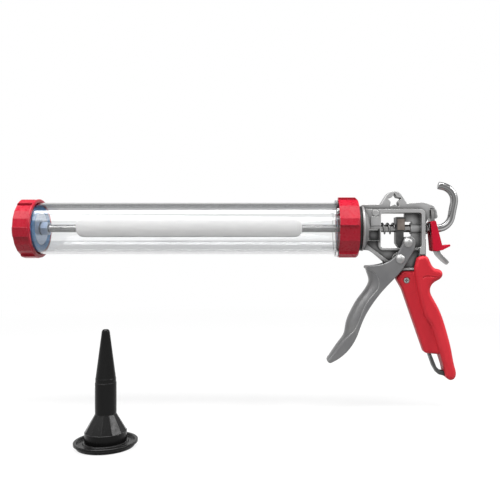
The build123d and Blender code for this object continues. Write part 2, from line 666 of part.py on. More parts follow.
def piston_front_nut():
    web_front, _, _ = piston_stations()
    return hex_nut(ROD_NUT_WIDTH, web_front - PISTON_FRONT - 0.6, ROD_RADIUS + SNUG, PISTON_FRONT + 0.6)


def release_frame():
    """Plane of the lever: local x backwards, local y up along the plate, origin on the pivot."""
    tilt = math.radians(RELEASE_TILT)
    return Plane(origin=(RELEASE_PIVOT[0], 0, RELEASE_PIVOT[1]), x_dir=(math.cos(tilt), 0, math.sin(tilt)),
                 z_dir=(0, -1, 0))


def lever_solid(outline, width):
    return extrude(release_frame() * make_face(outline), width / 2, both=True)


def lever_strip(thickness):
    """Outline of the bent plate, from its top end round two bends to the tip of the tongue."""
    half = thickness / 2
    turns = [0, 0, TONGUE_ANGLE, TONGUE_TIP_ANGLE, TONGUE_TIP_ANGLE]
    lengths = [PLATE_TOP + TONGUE_START, TONGUE_KNEE, TONGUE_LENGTH - TONGUE_KNEE]
    x, z = 0, PLATE_TOP
    front, back = [], []
    for k, (before, after) in enumerate(zip(turns, turns[1:])):
        middle = math.radians((before + after) / 2)
        reach = half / math.cos(math.radians(after - before) / 2)
        back.append((x + reach * math.cos(middle), z + reach * math.sin(middle)))
        front.append((x - reach * math.cos(middle), z - reach * math.sin(middle)))
        if k < len(lengths):
            heading = math.radians(after)
            x, z = x + lengths[k] * math.sin(heading), z - lengths[k] * math.cos(heading)
    inner, outer = TONGUE_BEND - half, TONGUE_BEND + half
    return FilletPolyline(*back, *reversed(front), close=True,
                          radius=[0, inner, inner, 0, 0, outer, outer, 0])


def release_plate():
    body = lever_solid(lever_strip(PLATE_THICKNESS), PLATE_WIDTH)
    trim_width = (PLATE_WIDTH - TONGUE_WIDTH) / 2
    trim_height = TONGUE_LENGTH + TONGUE_BEND
    for side in (-1, 1):
        place = Location((RELEASE_PIVOT[0] + trim_height / 2, side * PLATE_WIDTH / 2,
                          RELEASE_PIVOT[1] - TONGUE_START - trim_height * 0.3))
        body = body - place * Box(2 * trim_height, 2 * trim_width, trim_height)
    body = fillet(tongue_tip_edges(body), TONGUE_WIDTH * 0.4)
    hole = Location((RELEASE_PIVOT[0], 0, 0), (0, 90, 0)) * Cylinder(PLATE_HOLE_RADIUS, 30)
    return AT_FRAME * (body - hole)


def tongue_tip_edges(body):
    across = [e for e in body.edges().filter_by(GeomType.LINE) if e.length < PLATE_THICKNESS + 0.01]
    lowest = sorted(across, key=lambda e: e.center().Z)[:2]
    return ShapeList(lowest)


def pad_outline():
    """Thumb pad in the plane of the lever, with the tab that sticks out at its bottom."""
    points = [(-2.9, -9.6), (2.2, -9.2), (6.6, -36.2), (14.5, -35.0), (14.8, -37.0), (6.0, -40.4),
              (-0.5, -41.0), (-3.0, -39.6)]
    radii = [1.2, 1.2, 2.0, 0.8, 0.8, 2.0, 1.0, 1.0]
    return FilletPolyline(*points, radius=radii, close=True)


def release_pad():
    body = lever_solid(pad_outline(), PAD_WIDTH)
    body = body - lever_solid(lever_strip(PLATE_THICKNESS + 2 * SNUG), PLATE_WIDTH + 2 * SNUG)
    hole = Location((RELEASE_PIVOT[0], 0, 0), (0, 90, 0)) * Cylinder(PAD_ROD_HOLE, 40)
    return AT_FRAME * (body - hole)


def release_spring():
    x1 = RELEASE_PIVOT[0] + RELEASE_PIVOT[1] * math.tan(math.radians(RELEASE_TILT)) - PLATE_THICKNESS - 0.6
    spring = coil_spring(POST_REAR + SNUG, x1, RELEASE_RADIUS, RELEASE_WIRE, RELEASE_TURNS, "release_spring")
    return AT_FRAME * spring


def strap_points():
    """Thick back of the grip, with the web-of-hand hump at its top."""
    return [(54.8, -33.2), (57.4, -29.4), (62.0, -28.3), (66.4, -29.4), (69.0, -33.4), (71.4, -38.5),
            (74.8, -41.7), (79.3, -42.8), (82.5, -47.1), (80.5, -52.0), (74.8, -55.5), (70.8, -59.6),
            (69.6, -65.1), (72.0, -71.6), (76.6, -79.8), (81.4, -90.4), (86.1, -105.1), (91.4, -125.7),
            (95.0, -143.6), (96.4, -150.6), (94.7, -155.8), (90.4, -157.5), (86.5, -155.0), (84.9, -149.2),
            (80.8, -134.1), (76.0, -119.4), (72.0, -107.4), (69.4, -100.6), (65.0, -94.6), (61.6, -86.2),
            (57.9, -72.6), (55.1, -58.4), (53.2, -46.2), (53.2, -39.2)]


def panel_outline():
    """Flat front of the grip, which the trigger cheeks pass over."""
    return [(34.4, -51.6, 3.6), (41.2, -63.0, 20), (64.4, -129.8, 3.6), (82.0, -131.6, 3.6),
            (84.0, -112.0, 0), (64.0, -60.0, 0), (60.0, -44.0, 0), (41.6, -44.0, 3.6)]


def hump_crease(side):
    """Shallow groove under the hump."""
    y = side * (STRAP_WIDTH / 2 + CREASE_RADIUS * 0.35)
    path = Spline((61.0, y, -52.4), (63.2, y, -50.4), (66.6, y, -49.8), (73.0, y, -50.4), (81.0, y, -51.4))
    start = Plane(origin=path @ 0, z_dir=path % 0)
    return sweep(start * Circle(CREASE_RADIUS), path=path)


def grip_body():
    strap = curved_slab([Spline(*strap_points(), periodic=True)], STRAP_WIDTH)
    strap = fillet(outer_edges(strap, STRAP_WIDTH), STRAP_ROUNDING)
    body = strap + rounded_slab(panel_outline(), PANEL_WIDTH, PANEL_ROUNDING)
    for side in (-1, 1):
        body = body - hump_crease(side)
    return body


def frame_in_grip():
    """Room for the frame inside the grip, a little larger than the frame."""
    grow = 2 * GRIP_CLEARANCE
    lower = slab(lower_outline(), FRAME_LOWER_WIDTH + grow)
    tang = extrude(offset(side_face(tang_outline()), GRIP_CLEARANCE), (TANG_THICKNESS + grow) / 2, both=True)
    loop = extrude(offset(side_face(loop_outline()), GRIP_CLEARANCE), (LOOP_WIDTH + grow) / 2, both=True)
    return lower + tang + loop


def grip_half(side):
    keep = Location((0, side * (BEYOND + GRIP_SPLIT_GAP) / 2, 0)) * Box(2 * BEYOND, BEYOND, 2 * BEYOND)
    seat_ends = sorted((side * PANEL_WIDTH / 2, side * (PANEL_WIDTH / 2 - SCREW_SEAT_DEPTH)))
    seat = rod_along_y(SCREW_SEAT_RADIUS, SCREW_PLACE, seat_ends[0], seat_ends[1])
    half = (grip_body() & keep) - frame_in_grip() - grip_screw(side, SNUG) - seat
    return AT_FRAME * half


def grip_screw(side, grow=0.0):
    outer = PANEL_WIDTH / 2
    inner = TANG_THICKNESS / 2 - SCREW_DEPTH
    head_base = outer - SCREW_HEAD_HEIGHT
    ends = sorted((side * head_base, side * outer))
    shank_ends = sorted((side * (inner - grow), side * head_base))
    head = rod_along_y(SCREW_HEAD_RADIUS + grow, SCREW_PLACE, ends[0], ends[1])
    return head + rod_along_y(SCREW_SHANK_RADIUS + grow, SCREW_PLACE, shank_ends[0], shank_ends[1])


def grip_screws():
    solids = []
    for side in (-1, 1):
        place = Location((SCREW_PLACE[0], side * PANEL_WIDTH / 2, SCREW_PLACE[1]))
        cross = place * (Box(CROSS_LENGTH, 2 * CROSS_DEPTH, CROSS_WIDTH)
                         + Box(CROSS_WIDTH, 2 * CROSS_DEPTH, CROSS_LENGTH))
        solids.append(AT_FRAME * (grip_screw(side) - cross))
    return Compound(children=solids)


def turned_up(points):
    """Solid of revolution about the upright axis from (radius, height) points."""
    return revolve(Plane.XZ * make_face(Polyline(*points, close=True)), Axis.Z)


def nozzle_flats():
    """Flared shoulder with flat sides."""
    ends = []
    for radius, height in ((NOZZLE_HUB_RADIUS, NOZZLE_HUB_TOP), (NOZZLE_BODY_RADIUS, NOZZLE_BODY_BASE)):
        outline = RegularPolygon(radius, NOZZLE_FLATS, rotation=NOZZLE_FLAT_TURN)
        ends.append(Plane.XY.offset(height) * outline)
    return loft(ends)


def nozzle():
    hub, body, tip = NOZZLE_HUB_RADIUS, NOZZLE_BODY_RADIUS, NOZZLE_TIP_RADIUS
    rim, wall, height = NOZZLE_FLANGE_RADIUS, NOZZLE_WALL, NOZZLE_HEIGHT
    hub_top, base, top = NOZZLE_HUB_TOP, NOZZLE_BODY_BASE, NOZZLE_BODY_TOP
    foot = turned_up([(0, 0), (rim - 2.6, 0), (rim - 1.8, 1.6), (rim - 1.8, 2.2), (rim, 3.0), (rim, 4.6),
                      (rim - 0.5, 5.0), (rim - 2.4, 5.0), (rim - 3.6, 3.0), (hub + 1.6, 3.0),
                      (hub + 0.8, 4.0), (hub, 4.0), (hub, hub_top), (0, hub_top)])
    spout = turned_up([(0, base), (body, base), (body, top), (body - 0.3, top + 0.4),
                       (body - 0.3, top + 3.6), (body - 0.5, top + 4.0), (tip + 0.1, height - 2.0),
                       (tip - 0.3, height - 0.8), (tip - 1.1, height), (0, height)])
    mouth = NOZZLE_MOUTH_RADIUS
    channel = turned_up([(0, -1), (hub - wall, -1), (hub - wall, hub_top - 1), (body - wall, base - 1),
                         (body - wall, top), (mouth, height - 4), (mouth, height + 1), (0, height + 1)])
    return Location(NOZZLE_PLACE) * (foot + nozzle_flats() + spout - channel)


NODES = {
    "front_cap": front_cap,
    "barrel_tube": barrel_tube,
    "rear_ring": rear_ring,
    "swivel_washer": swivel_washer,
    "end_plate": end_plate,
    "spigot_nut": spigot_nut,
    "frame_casting": frame_casting,
    "trigger": trigger,
    "pivot_rivet": lambda: rivet(PIVOT, CHEEK_OUTER + 0.2),
    "drive_pin": lambda: rivet(DRIVE_PIN, CHEEK_OUTER),
    "drive_block": drive_block,
    "drive_collar": drive_collar,
    "return_spring": return_spring,
    "push_rod": push_rod,
    "piston_seal": piston_seal,
    "piston_plate": piston_plate,
    "piston_spring_washer": piston_spring_washer,
    "piston_nut": piston_nut,
    "piston_front_nut": piston_front_nut,
    "release_plate": release_plate,
    "release_pad": release_pad,
    "release_spring": release_spring,
    "grip_near_half": lambda: grip_half(-1),
    "grip_far_half": lambda: grip_half(1),
    "grip_screws": grip_screws,
    "nozzle": nozzle,
}

os.makedirs("parts", exist_ok=True)
for name, make in NODES.items():
    shape = make()
    export_step(shape, f"parts/{name}.step")
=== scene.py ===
import bpy
import math
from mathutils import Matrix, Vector


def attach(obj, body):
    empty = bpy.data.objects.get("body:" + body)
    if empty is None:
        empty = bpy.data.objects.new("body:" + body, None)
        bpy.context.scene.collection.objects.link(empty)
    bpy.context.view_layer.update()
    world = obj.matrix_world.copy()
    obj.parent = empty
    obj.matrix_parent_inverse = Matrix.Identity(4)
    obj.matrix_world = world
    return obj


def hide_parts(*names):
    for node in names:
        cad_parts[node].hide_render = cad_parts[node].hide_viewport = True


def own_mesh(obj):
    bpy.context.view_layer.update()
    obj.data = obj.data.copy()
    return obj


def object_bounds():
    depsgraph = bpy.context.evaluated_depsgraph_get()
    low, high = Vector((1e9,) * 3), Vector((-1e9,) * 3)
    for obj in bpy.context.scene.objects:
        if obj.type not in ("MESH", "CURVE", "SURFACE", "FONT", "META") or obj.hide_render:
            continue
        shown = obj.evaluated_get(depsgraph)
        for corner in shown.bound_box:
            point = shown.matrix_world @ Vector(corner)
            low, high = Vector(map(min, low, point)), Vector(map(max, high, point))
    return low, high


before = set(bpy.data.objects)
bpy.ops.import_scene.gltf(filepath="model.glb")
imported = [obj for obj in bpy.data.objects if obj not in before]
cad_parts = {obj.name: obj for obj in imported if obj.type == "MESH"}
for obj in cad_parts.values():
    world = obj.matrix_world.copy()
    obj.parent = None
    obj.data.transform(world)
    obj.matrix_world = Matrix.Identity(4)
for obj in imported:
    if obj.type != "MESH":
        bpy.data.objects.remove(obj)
cad_box = [list(corner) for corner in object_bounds()]

# Lengths are in metres, in the frame of the solids: the rod on the X axis, +Z up.
MM = 0.001
FRAME_X = 354.5 * MM
TUBE_RADIUS = 27.0 * MM

# Camera: the photograph is 500 pixels wide, with a focal length of about 600 of them.
PHOTO_SIZE = 500
FOCAL_PIXELS = 600
SENSOR = 36.0
CAMERA_PLACE = (0.27365, -0.630, -0.0252)
CAMERA_SHIFT = (-0.07, 0.005)
CAMERA_NEAR = 0.01

# Lamps: place, width and height, and watts. Each faces the middle of the gun.
LIGHT_TARGET = (0.23, 0.0, -0.05)
LAMPS = {
    "key": ((-0.25, -0.92, 0.94), (1.6, 0.66), 15),
    "top": ((0.25, -0.25, 1.25), (1.6, 0.38), 28),
    "side": ((1.3, -0.19, 0.6), (0.26, 0.36), 6.5),
}

# Room: the light it gives, and the sky that is seen, white up to one height and grey over the other,
# where level is 0 and straight up is 1
AMBIENT = 0.13
SKY_TONES = (1.0, 0.22)
SKY_HEIGHTS = (0.45, 0.75)

# Floor: its tone for stray light and where it is seen, and the share of plain white by distance
FLOOR_Z = cad_box[0][2]
FLOOR_DROP = 0.2 * MM
FLOOR_REACH = 8.0
FLOOR_MIDDLE = (0.23, 0.0, FLOOR_Z)
FLOOR_TONES = (0.3, 0.9)
FLOOR_WHITE = (0.85, 1.0)
FLOOR_WHITE_REACH = (0.3, 1.2)

# Springs, as in the solids, measured from FRAME_X
SPRINGS = {
    "return_spring": dict(start=18.43 * MM, end=34.57 * MM, radius=5.3 * MM, wire=2.0 * MM, turns=2.5),
    "release_spring": dict(start=65.43 * MM, end=69.98 * MM, radius=5.6 * MM, wire=1.0 * MM, turns=1.5),
}
COIL_SIDES = 14
COIL_STEPS_PER_TURN = 56
COIL_END_TAPER = (0.72, 0.93)

# Blank strip on the near side of the clear tube
STRIP_X = (63.6 * MM, 290.7 * MM)
STRIP_Z = (-9.6 * MM, 9.0 * MM)
STRIP_CORNER = 7.0 * MM
STRIP_STAND = 0.06 * MM
STRIP_THICKNESS = 0.12 * MM
STRIP_COLUMNS = 90
STRIP_ROWS = 10

# Painted dark reflections along the clear tube's top and lower side, and the darker end of the frame's loop
TOP_REFLECTION_Z = 19.3 * MM
LOW_REFLECTION_Z = -13.6 * MM
BAND_BLUR = 0.8 * MM
LOOP_TOP_Z = -120.0 * MM
LOOP_BLUR = 8.0 * MM
LOOP_DARKENING = 0.85

# Painted reflections on the rod's hook: place from the inside (-1) to the outside (1) of its bend, and tone
HOOK_CENTRE = (436.0 * MM, 0.0, 24.0 * MM)
HOOK_PLANE = (1, 0, 1)
HOOK_START_X = 430.0 * MM
HOOK_BLUR = 5.0 * MM
HOOK_REFLECTION_TONES = ((-0.95, 0.06), (-0.77, 0.40), (-0.56, 0.09), (-0.28, 0.25), (0.07, 0.12), (0.42, 0.50),
                (0.78, 0.06))

# Shading: the middle range of a noise field, the match of flat and rounded normals from an open face to a
# sharp edge, and the open share of a pocket with the painted shade that darkens it
NOISE_RANGE = (0.3, 0.7)
EDGE_MATCH = (0.995, 0.90)
EDGE_SAMPLES = 6
POCKET_OPEN = (0.52, 0.97)
POCKET_SHADE = (0.95, 0.0)
POCKET_SAMPLES = 16
EVENLY = (1, 1, 1)
WHITE = (1, 1, 1, 1)

# Colour sockets of a mix node, which share their names with its other sockets
MIX_BELOW = 6
MIX_ABOVE = 7
MIX_RESULT = 2


def grey(tone):
    return (tone, tone, tone)


def add_node(tree, kind, inputs=None, **settings):
    """Shader node with its settings, and its inputs set or linked by name or number."""
    made = tree.nodes.new(kind)
    for key, value in settings.items():
        setattr(made, key, value)
    for key, value in (inputs or {}).items():
        if isinstance(value, bpy.types.NodeSocket):
            tree.links.new(value, made.inputs[key])
        else:
            made.inputs[key].default_value = value
    return made


def maths(tree, operation, *values):
    return add_node(tree, "ShaderNodeMath", dict(enumerate(values)), operation=operation).outputs[0]


def vector_maths(tree, operation, *values, result="Vector"):
    made = add_node(tree, "ShaderNodeVectorMath", dict(enumerate(values)), operation=operation)
    return made.outputs[result]


def own_place(tree):
    """Place in the object's own metres, which moves with the object."""
    return add_node(tree, "ShaderNodeTexCoord").outputs["Object"]


def along_axis(tree, vector, axis):
    return add_node(tree, "ShaderNodeSeparateXYZ", {"Vector": vector}).outputs[axis]


def height_above_rod(tree):
    """Height over the rod axis, which stays upright when the barrel swivels."""
    return along_axis(tree, add_node(tree, "ShaderNodeNewGeometry").outputs["Position"], "Z")


def noise(tree, scale, detail, stretch=EVENLY):
    """Noise at a scale per metre of the object."""
    place = add_node(tree, "ShaderNodeMapping", {"Vector": own_place(tree), "Scale": stretch}).outputs[0]
    field = add_node(tree, "ShaderNodeTexNoise", {"Vector": place, "Scale": scale, "Detail": detail})
    return field.outputs["Fac"]


def ramp(tree, value, *stops):
    """Colour that runs through stops, each a place and a colour."""
    made = add_node(tree, "ShaderNodeValToRGB", {"Fac": value})
    elements = made.color_ramp.elements
    for place, _ in stops[1:-1]:
        elements.new(place)
    for element, (place, colour) in zip(elements, stops):
        element.position = place
        element.color = (*colour, 1)
    return made.outputs["Color"]


def tint(tree, field, low, high):
    """Colour of a noise field."""
    return ramp(tree, field, *zip(NOISE_RANGE, (low, high)))


def spread(tree, value, to, over=NOISE_RANGE):
    """Value remapped to one range from another."""
    ranged = add_node(tree, "ShaderNodeMapRange", {"Value": value, "From Min": over[0], "From Max": over[1],
                                                   "To Min": to[0], "To Max": to[1]})
    return ranged.outputs["Result"]


def blend(tree, mask, below, above):
    """One colour, turning into another where the mask is 1."""
    shown = above if isinstance(above, bpy.types.NodeSocket) else (*above, 1)
    inputs = {"Factor": mask, MIX_BELOW: below, MIX_ABOVE: shown}
    return add_node(tree, "ShaderNodeMix", inputs, data_type="RGBA").outputs[MIX_RESULT]


def soft_edges(tree, radius):
    return add_node(tree, "ShaderNodeBevel", {"Radius": radius}, samples=EDGE_SAMPLES).outputs["Normal"]


def edge_mask(tree, radius):
    """1 along sharp edges, 0 on open faces."""
    flat = add_node(tree, "ShaderNodeNewGeometry").outputs["Normal"]
    match = vector_maths(tree, "DOT_PRODUCT", soft_edges(tree, radius), flat, result="Value")
    return spread(tree, match, to=(0.0, 1.0), over=EDGE_MATCH)


def pocket_shade_mask(tree, reach):
    """Near 1 in corners and pockets, 0 on open faces; it places painted shade."""
    openness = add_node(tree, "ShaderNodeAmbientOcclusion", {"Distance": reach}, samples=POCKET_SAMPLES)
    return spread(tree, openness.outputs["AO"], to=POCKET_SHADE, over=POCKET_OPEN)


def relief(tree, height, depth, strength, under=None):
    """Fine relief, over soft edges where they are given."""
    inputs = {"Height": height, "Distance": depth, "Strength": strength}
    if under is not None:
        inputs["Normal"] = under
    return add_node(tree, "ShaderNodeBump", inputs).outputs["Normal"]


def principled(name, **sockets):
    """Material, its node tree and its shader, with sockets set by their names in small letters."""
    made = bpy.data.materials.new(name)
    made.use_nodes = True
    shader = made.node_tree.nodes["Principled BSDF"]
    names = {socket.name.lower().replace(" ", "_"): socket for socket in shader.inputs}
    for key, value in sockets.items():
        names[key].default_value = value
    return made, made.node_tree, shader


def dress(tree, shader, colour, roughness, normal):
    """Link a surface's colour, roughness and normal to its shader."""
    for key, value in (("Base Color", colour), ("Roughness", roughness), ("Normal", normal)):
        tree.links.new(value, shader.inputs[key])


def cast_aluminium():
    """Die-cast metal: cloudy tone, fine grain, painted shade in pockets, edge wear with a painted highlight,
    a darker lower end.
    """
    made, tree, shader = principled("cast_aluminium", metallic=0.5, specular_ior_level=0.4)
    # Near-black tone of the painted pocket shade and of the darker lower end
    dark_tone = grey(0.03)
    edge = 0.5 * MM
    # Mask that darkens the casting towards the lower end of the frame's loop
    darker_low_end = spread(tree, height_above_rod(tree), to=(0.0, LOOP_DARKENING),
                     over=(LOOP_TOP_Z, LOOP_TOP_Z - LOOP_BLUR))
    colour = tint(tree, noise(tree, scale=70, detail=4), grey(0.30), grey(0.37))
    # Painted shade: pockets and corners darkened towards near black
    colour = blend(tree, pocket_shade_mask(tree, reach=8 * MM), colour, dark_tone)
    # Edges lightened: partly wear, partly a painted highlight
    colour = blend(tree, edge_mask(tree, edge), colour, (0.58, 0.58, 0.57))
    # Darker towards the lower end
    colour = blend(tree, darker_low_end, colour, dark_tone)
    roughness = spread(tree, noise(tree, scale=240, detail=3), to=(0.40, 0.55))
    grain = noise(tree, scale=1100, detail=2)
    normal = relief(tree, grain, depth=0.05 * MM, strength=0.5, under=soft_edges(tree, edge))
    dress(tree, shader, colour, roughness, normal)
    return made


def trigger_alloy():
    """Smooth die-cast metal, worn paler along its ridges, with a painted highlight there."""
    made, tree, shader = principled("trigger_alloy", metallic=0.5, specular_ior_level=0.4)
    edge = 0.6 * MM
    colour = tint(tree, noise(tree, scale=60, detail=4), (0.15, 0.15, 0.155), grey(0.19))
    # Edges lightened: partly wear, partly a painted highlight
    colour = blend(tree, edge_mask(tree, edge), colour, (0.56, 0.56, 0.55))
    roughness = spread(tree, noise(tree, scale=240, detail=3), to=(0.36, 0.48))
    grain = noise(tree, scale=1400, detail=2)
    normal = relief(tree, grain, depth=0.03 * MM, strength=0.4, under=soft_edges(tree, edge))
    dress(tree, shader, colour, roughness, normal)
    return made


def moulded_plastic(name, low, high, edge, roughness, grain_depth, specular):
    """Moulded plastic: slight flow streaks, fine matt grain, edges worn paler with a painted highlight."""
    made, tree, shader = principled(name, ior=1.5, specular_ior_level=specular)
    pale_edge_radius = 0.45 * MM
    round_edge = 0.5 * MM
    flow = noise(tree, scale=45, detail=3, stretch=(1, 1, 0.35))
    # Edges lightened to the edge colour: partly wear, partly a painted highlight
    colour = blend(tree, edge_mask(tree, pale_edge_radius), tint(tree, flow, low, high), edge)
    rough = spread(tree, noise(tree, scale=300, detail=3), to=roughness)
    grain = noise(tree, scale=2200, detail=2)
    normal = relief(tree, grain, depth=grain_depth, strength=0.35, under=soft_edges(tree, round_edge))
    dress(tree, shader, colour, rough, normal)
    return made


def across_bend(tree):
    """-1 on the inside of the hook's bend, 1 on its outside."""
    away = vector_maths(tree, "SUBTRACT", own_place(tree), HOOK_CENTRE)
    in_plane = vector_maths(tree, "MULTIPLY", away, HOOK_PLANE)
    outward = vector_maths(tree, "NORMALIZE", in_plane)
    own_normal = add_node(tree, "ShaderNodeTexCoord").outputs["Normal"]
    return vector_maths(tree, "DOT_PRODUCT", own_normal, outward, result="Value")


def painted_hook_reflections(tree, colour):
    """Painted reflections along the bent end of a drawn bar, as light and dark bands."""
    share = spread(tree, across_bend(tree), to=(0.0, 1.0), over=(-1.0, 1.0))
    reflection_tones = ramp(tree, share, *(((place + 1) / 2, grey(tone)) for place, tone in HOOK_REFLECTION_TONES))
    bent = spread(tree, along_axis(tree, own_place(tree), "X"), to=(0.0, 1.0),
                  over=(HOOK_START_X, HOOK_START_X + HOOK_BLUR))
    return blend(tree, bent, colour, reflection_tones)


def drawn_steel(name, low, high, roughness, stretch, hooked=False):
    """Bright steel with a fine grain, which a stretch draws into lines."""
    made, tree, shader = principled(name, metallic=1.0, anisotropic=0.3)
    colour = tint(tree, noise(tree, scale=60, detail=3), low, high)
    # Painted reflections on the hook end of the bar
    if hooked:
        colour = painted_hook_reflections(tree, colour)
    lines = noise(tree, scale=900, detail=2, stretch=stretch)
    normal = relief(tree, lines, depth=0.01 * MM, strength=0.15)
    dress(tree, shader, colour, spread(tree, lines, to=roughness), normal)
    return made


def turned_steel(name, low, high, roughness):
    """Plated steel with light handling marks and painted shade in its slots."""
    made, tree, shader = principled(name, metallic=1.0)
    edge = 0.3 * MM
    colour = tint(tree, noise(tree, scale=150, detail=4), low, high)
    colour = blend(tree, edge_mask(tree, edge), colour, high)
    # Painted shade: slots and corners darkened
    colour = blend(tree, pocket_shade_mask(tree, reach=1.5 * MM), colour, grey(0.04))
    marks = noise(tree, scale=700, detail=4)
    normal = relief(tree, marks, depth=0.02 * MM, strength=0.3, under=soft_edges(tree, edge))
    dress(tree, shader, colour, spread(tree, marks, to=roughness), normal)
    return made


def rubber(name, low, high):
    """Matt rubber, slightly mottled."""
    made, tree, shader = principled(name, specular_ior_level=0.35)
    mottle = noise(tree, scale=400, detail=4)
    roughness = spread(tree, mottle, to=(0.45, 0.65))
    normal = relief(tree, noise(tree, scale=1800, detail=2), depth=0.03 * MM, strength=0.4)
    dress(tree, shader, tint(tree, mottle, low, high), roughness, normal)
    return made


def clear_tube():
    """Extruded clear tube: faint draw lines, handling haze, painted dark reflections along its top and its
    lower side.
    """
    made, tree, shader = principled("clear_tube", transmission_weight=1.0, ior=1.49)
    height = height_above_rod(tree)
    # Painted reflections: the tube greyed along its top and its lower side, kept upright in the world
    low_reflection = spread(tree, height, to=(1.0, 0.0), over=(LOW_REFLECTION_Z, LOW_REFLECTION_Z + BAND_BLUR))
    top_reflection = spread(tree, height, to=(0.0, 1.0), over=(TOP_REFLECTION_Z, TOP_REFLECTION_Z + BAND_BLUR))
    haze = noise(tree, scale=55, detail=4, stretch=(0.03, 1, 1))
    colour = tint(tree, haze, (0.90, 0.905, 0.91), (0.94, 0.945, 0.945))
    colour = blend(tree, low_reflection, colour, (0.74, 0.745, 0.75))
    colour = blend(tree, top_reflection, colour, (0.55, 0.555, 0.56))
    lines = noise(tree, scale=500, detail=2, stretch=(0.004, 1, 1))
    normal = relief(tree, lines, depth=0.02 * MM, strength=0.03)
    dress(tree, shader, colour, spread(tree, haze, to=(0.02, 0.05)), normal)
    return made


def frosted_strip():
    """Blank matt strip, slightly mottled."""
    made, tree, shader = principled("frosted_strip", specular_ior_level=0.15, transmission_weight=0.45)
    mottle = noise(tree, scale=260, detail=4, stretch=(0.3, 1, 1))
    colour = tint(tree, mottle, grey(0.83), (0.89, 0.89, 0.885))
    normal = relief(tree, noise(tree, scale=1500, detail=2), depth=0.02 * MM, strength=0.3)
    dress(tree, shader, colour, spread(tree, mottle, to=(0.55, 0.7)), normal)
    return made


def paint(material, *nodes):
    for name in nodes:
        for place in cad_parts[name].material_slots:
            place.material = material


def paint_castings():
    paint(cast_aluminium(), "frame_casting")
    paint(trigger_alloy(), "trigger")


def paint_plastics():
    cap_red = moulded_plastic("red_cap", low=(0.38, 0.005, 0.02), high=(0.47, 0.009, 0.028),
                              edge=(0.58, 0.05, 0.09), roughness=(0.24, 0.34), grain_depth=0.01 * MM,
                              specular=0.25)
    paint(cap_red, "front_cap", "rear_ring")
    grip_red = moulded_plastic("red_grip", low=(0.55, 0.019, 0.032), high=(0.65, 0.028, 0.042),
                               edge=(0.67, 0.065, 0.085), roughness=(0.40, 0.54), grain_depth=0.03 * MM,
                               specular=0.25)
    paint(grip_red, "grip_near_half", "grip_far_half")
    pad_red = moulded_plastic("red_pad", low=(0.50, 0.010, 0.030), high=(0.58, 0.016, 0.040),
                              edge=(0.64, 0.06, 0.08), roughness=(0.50, 0.62), grain_depth=0.03 * MM,
                              specular=0.03)
    paint(pad_red, "release_pad")
    black = moulded_plastic("black_nozzle", low=grey(0.004), high=grey(0.009), edge=grey(0.07),
                            roughness=(0.20, 0.28), grain_depth=0.02 * MM, specular=0.12)
    paint(black, "nozzle")
    paint(clear_tube(), "barrel_tube")


def paint_rubber():
    black = rubber("black_rubber", low=grey(0.005), high=(0.014, 0.014, 0.013))
    paint(black, "swivel_washer")
    blue = rubber("blue_seal", low=(0.04, 0.19, 0.42), high=(0.08, 0.25, 0.52))
    paint(blue, "piston_seal")


def paint_steel():
    bright = drawn_steel("bright_steel", low=grey(0.21), high=(0.29, 0.29, 0.285), roughness=(0.18, 0.28),
                         stretch=(0.03, 1, 1), hooked=True)
    paint(bright, "push_rod")
    plated = turned_steel("plated_steel", low=(0.35, 0.43, 0.55), high=(0.42, 0.50, 0.62),
                          roughness=(0.40, 0.55))
    paint(plated, "piston_plate", "piston_nut", "piston_spring_washer", "piston_front_nut", "end_plate",
          "spigot_nut")
    fastener = turned_steel("rivet_steel", low=grey(0.25), high=(0.36, 0.36, 0.355), roughness=(0.40, 0.55))
    paint(fastener, "pivot_rivet", "drive_pin", "grip_screws")
    dark = turned_steel("dark_steel", low=grey(0.045), high=grey(0.09), roughness=(0.34, 0.52))
    paint(dark, "drive_block")
    bronze = turned_steel("bronze_steel", low=(0.13, 0.11, 0.095), high=(0.21, 0.18, 0.16),
                          roughness=(0.3, 0.45))
    paint(bronze, "drive_collar")
    sheet = turned_steel("sheet_steel", low=grey(0.19), high=(0.27, 0.265, 0.26), roughness=(0.28, 0.44))
    paint(sheet, "release_plate")


def mesh_piece(name, points, faces, material, smooth=True):
    mesh = bpy.data.meshes.new(name)
    mesh.from_pydata(points, [], faces)
    mesh.validate()
    mesh.polygons.foreach_set("use_smooth", [smooth] * len(mesh.polygons))
    made = bpy.data.objects.new(name, mesh)
    bpy.context.scene.collection.objects.link(made)
    made.data.materials.append(material)
    return made


def wire_ring(centre_x, radius, turn, thickness, slope):
    """Ring of points round the wire, at one angle about the rod axis."""
    points = []
    for side in range(COIL_SIDES):
        angle = 2 * math.pi * side / COIL_SIDES
        along = thickness / 2 * math.sin(angle)
        reach = radius + thickness / 2 * math.cos(angle)
        around = -along * math.sin(slope)
        points.append((centre_x + along * math.cos(slope),
                       reach * math.cos(turn) - around * math.sin(turn),
                       reach * math.sin(turn) + around * math.cos(turn)))
    return points


def coil(name, material, start, end, radius, wire, turns):
    """Round wire wound about the rod axis, with domed ends."""
    steps = round(turns * COIL_STEPS_PER_TURN)
    rise = end - start - wire
    slope = math.atan2(rise / turns, 2 * math.pi * radius)
    points = []
    for step in range(steps + 1):
        from_end = min(step, steps - step)
        taper = COIL_END_TAPER[from_end] if from_end < len(COIL_END_TAPER) else 1.0
        centre_x = FRAME_X + start + wire / 2 + rise * step / steps
        turn = 2 * math.pi * turns * step / steps
        points += wire_ring(centre_x, radius, turn, wire * taper, slope)
    faces = []
    for ring in range(0, steps * COIL_SIDES, COIL_SIDES):
        for side in range(COIL_SIDES):
            a = ring + side
            b = ring + (side + 1) % COIL_SIDES
            faces.append((a, b, b + COIL_SIDES, a + COIL_SIDES))
    faces.append(tuple(reversed(range(COIL_SIDES))))
    faces.append(tuple(range(steps * COIL_SIDES, (steps + 1) * COIL_SIDES)))
    return mesh_piece(name, points, faces, material)


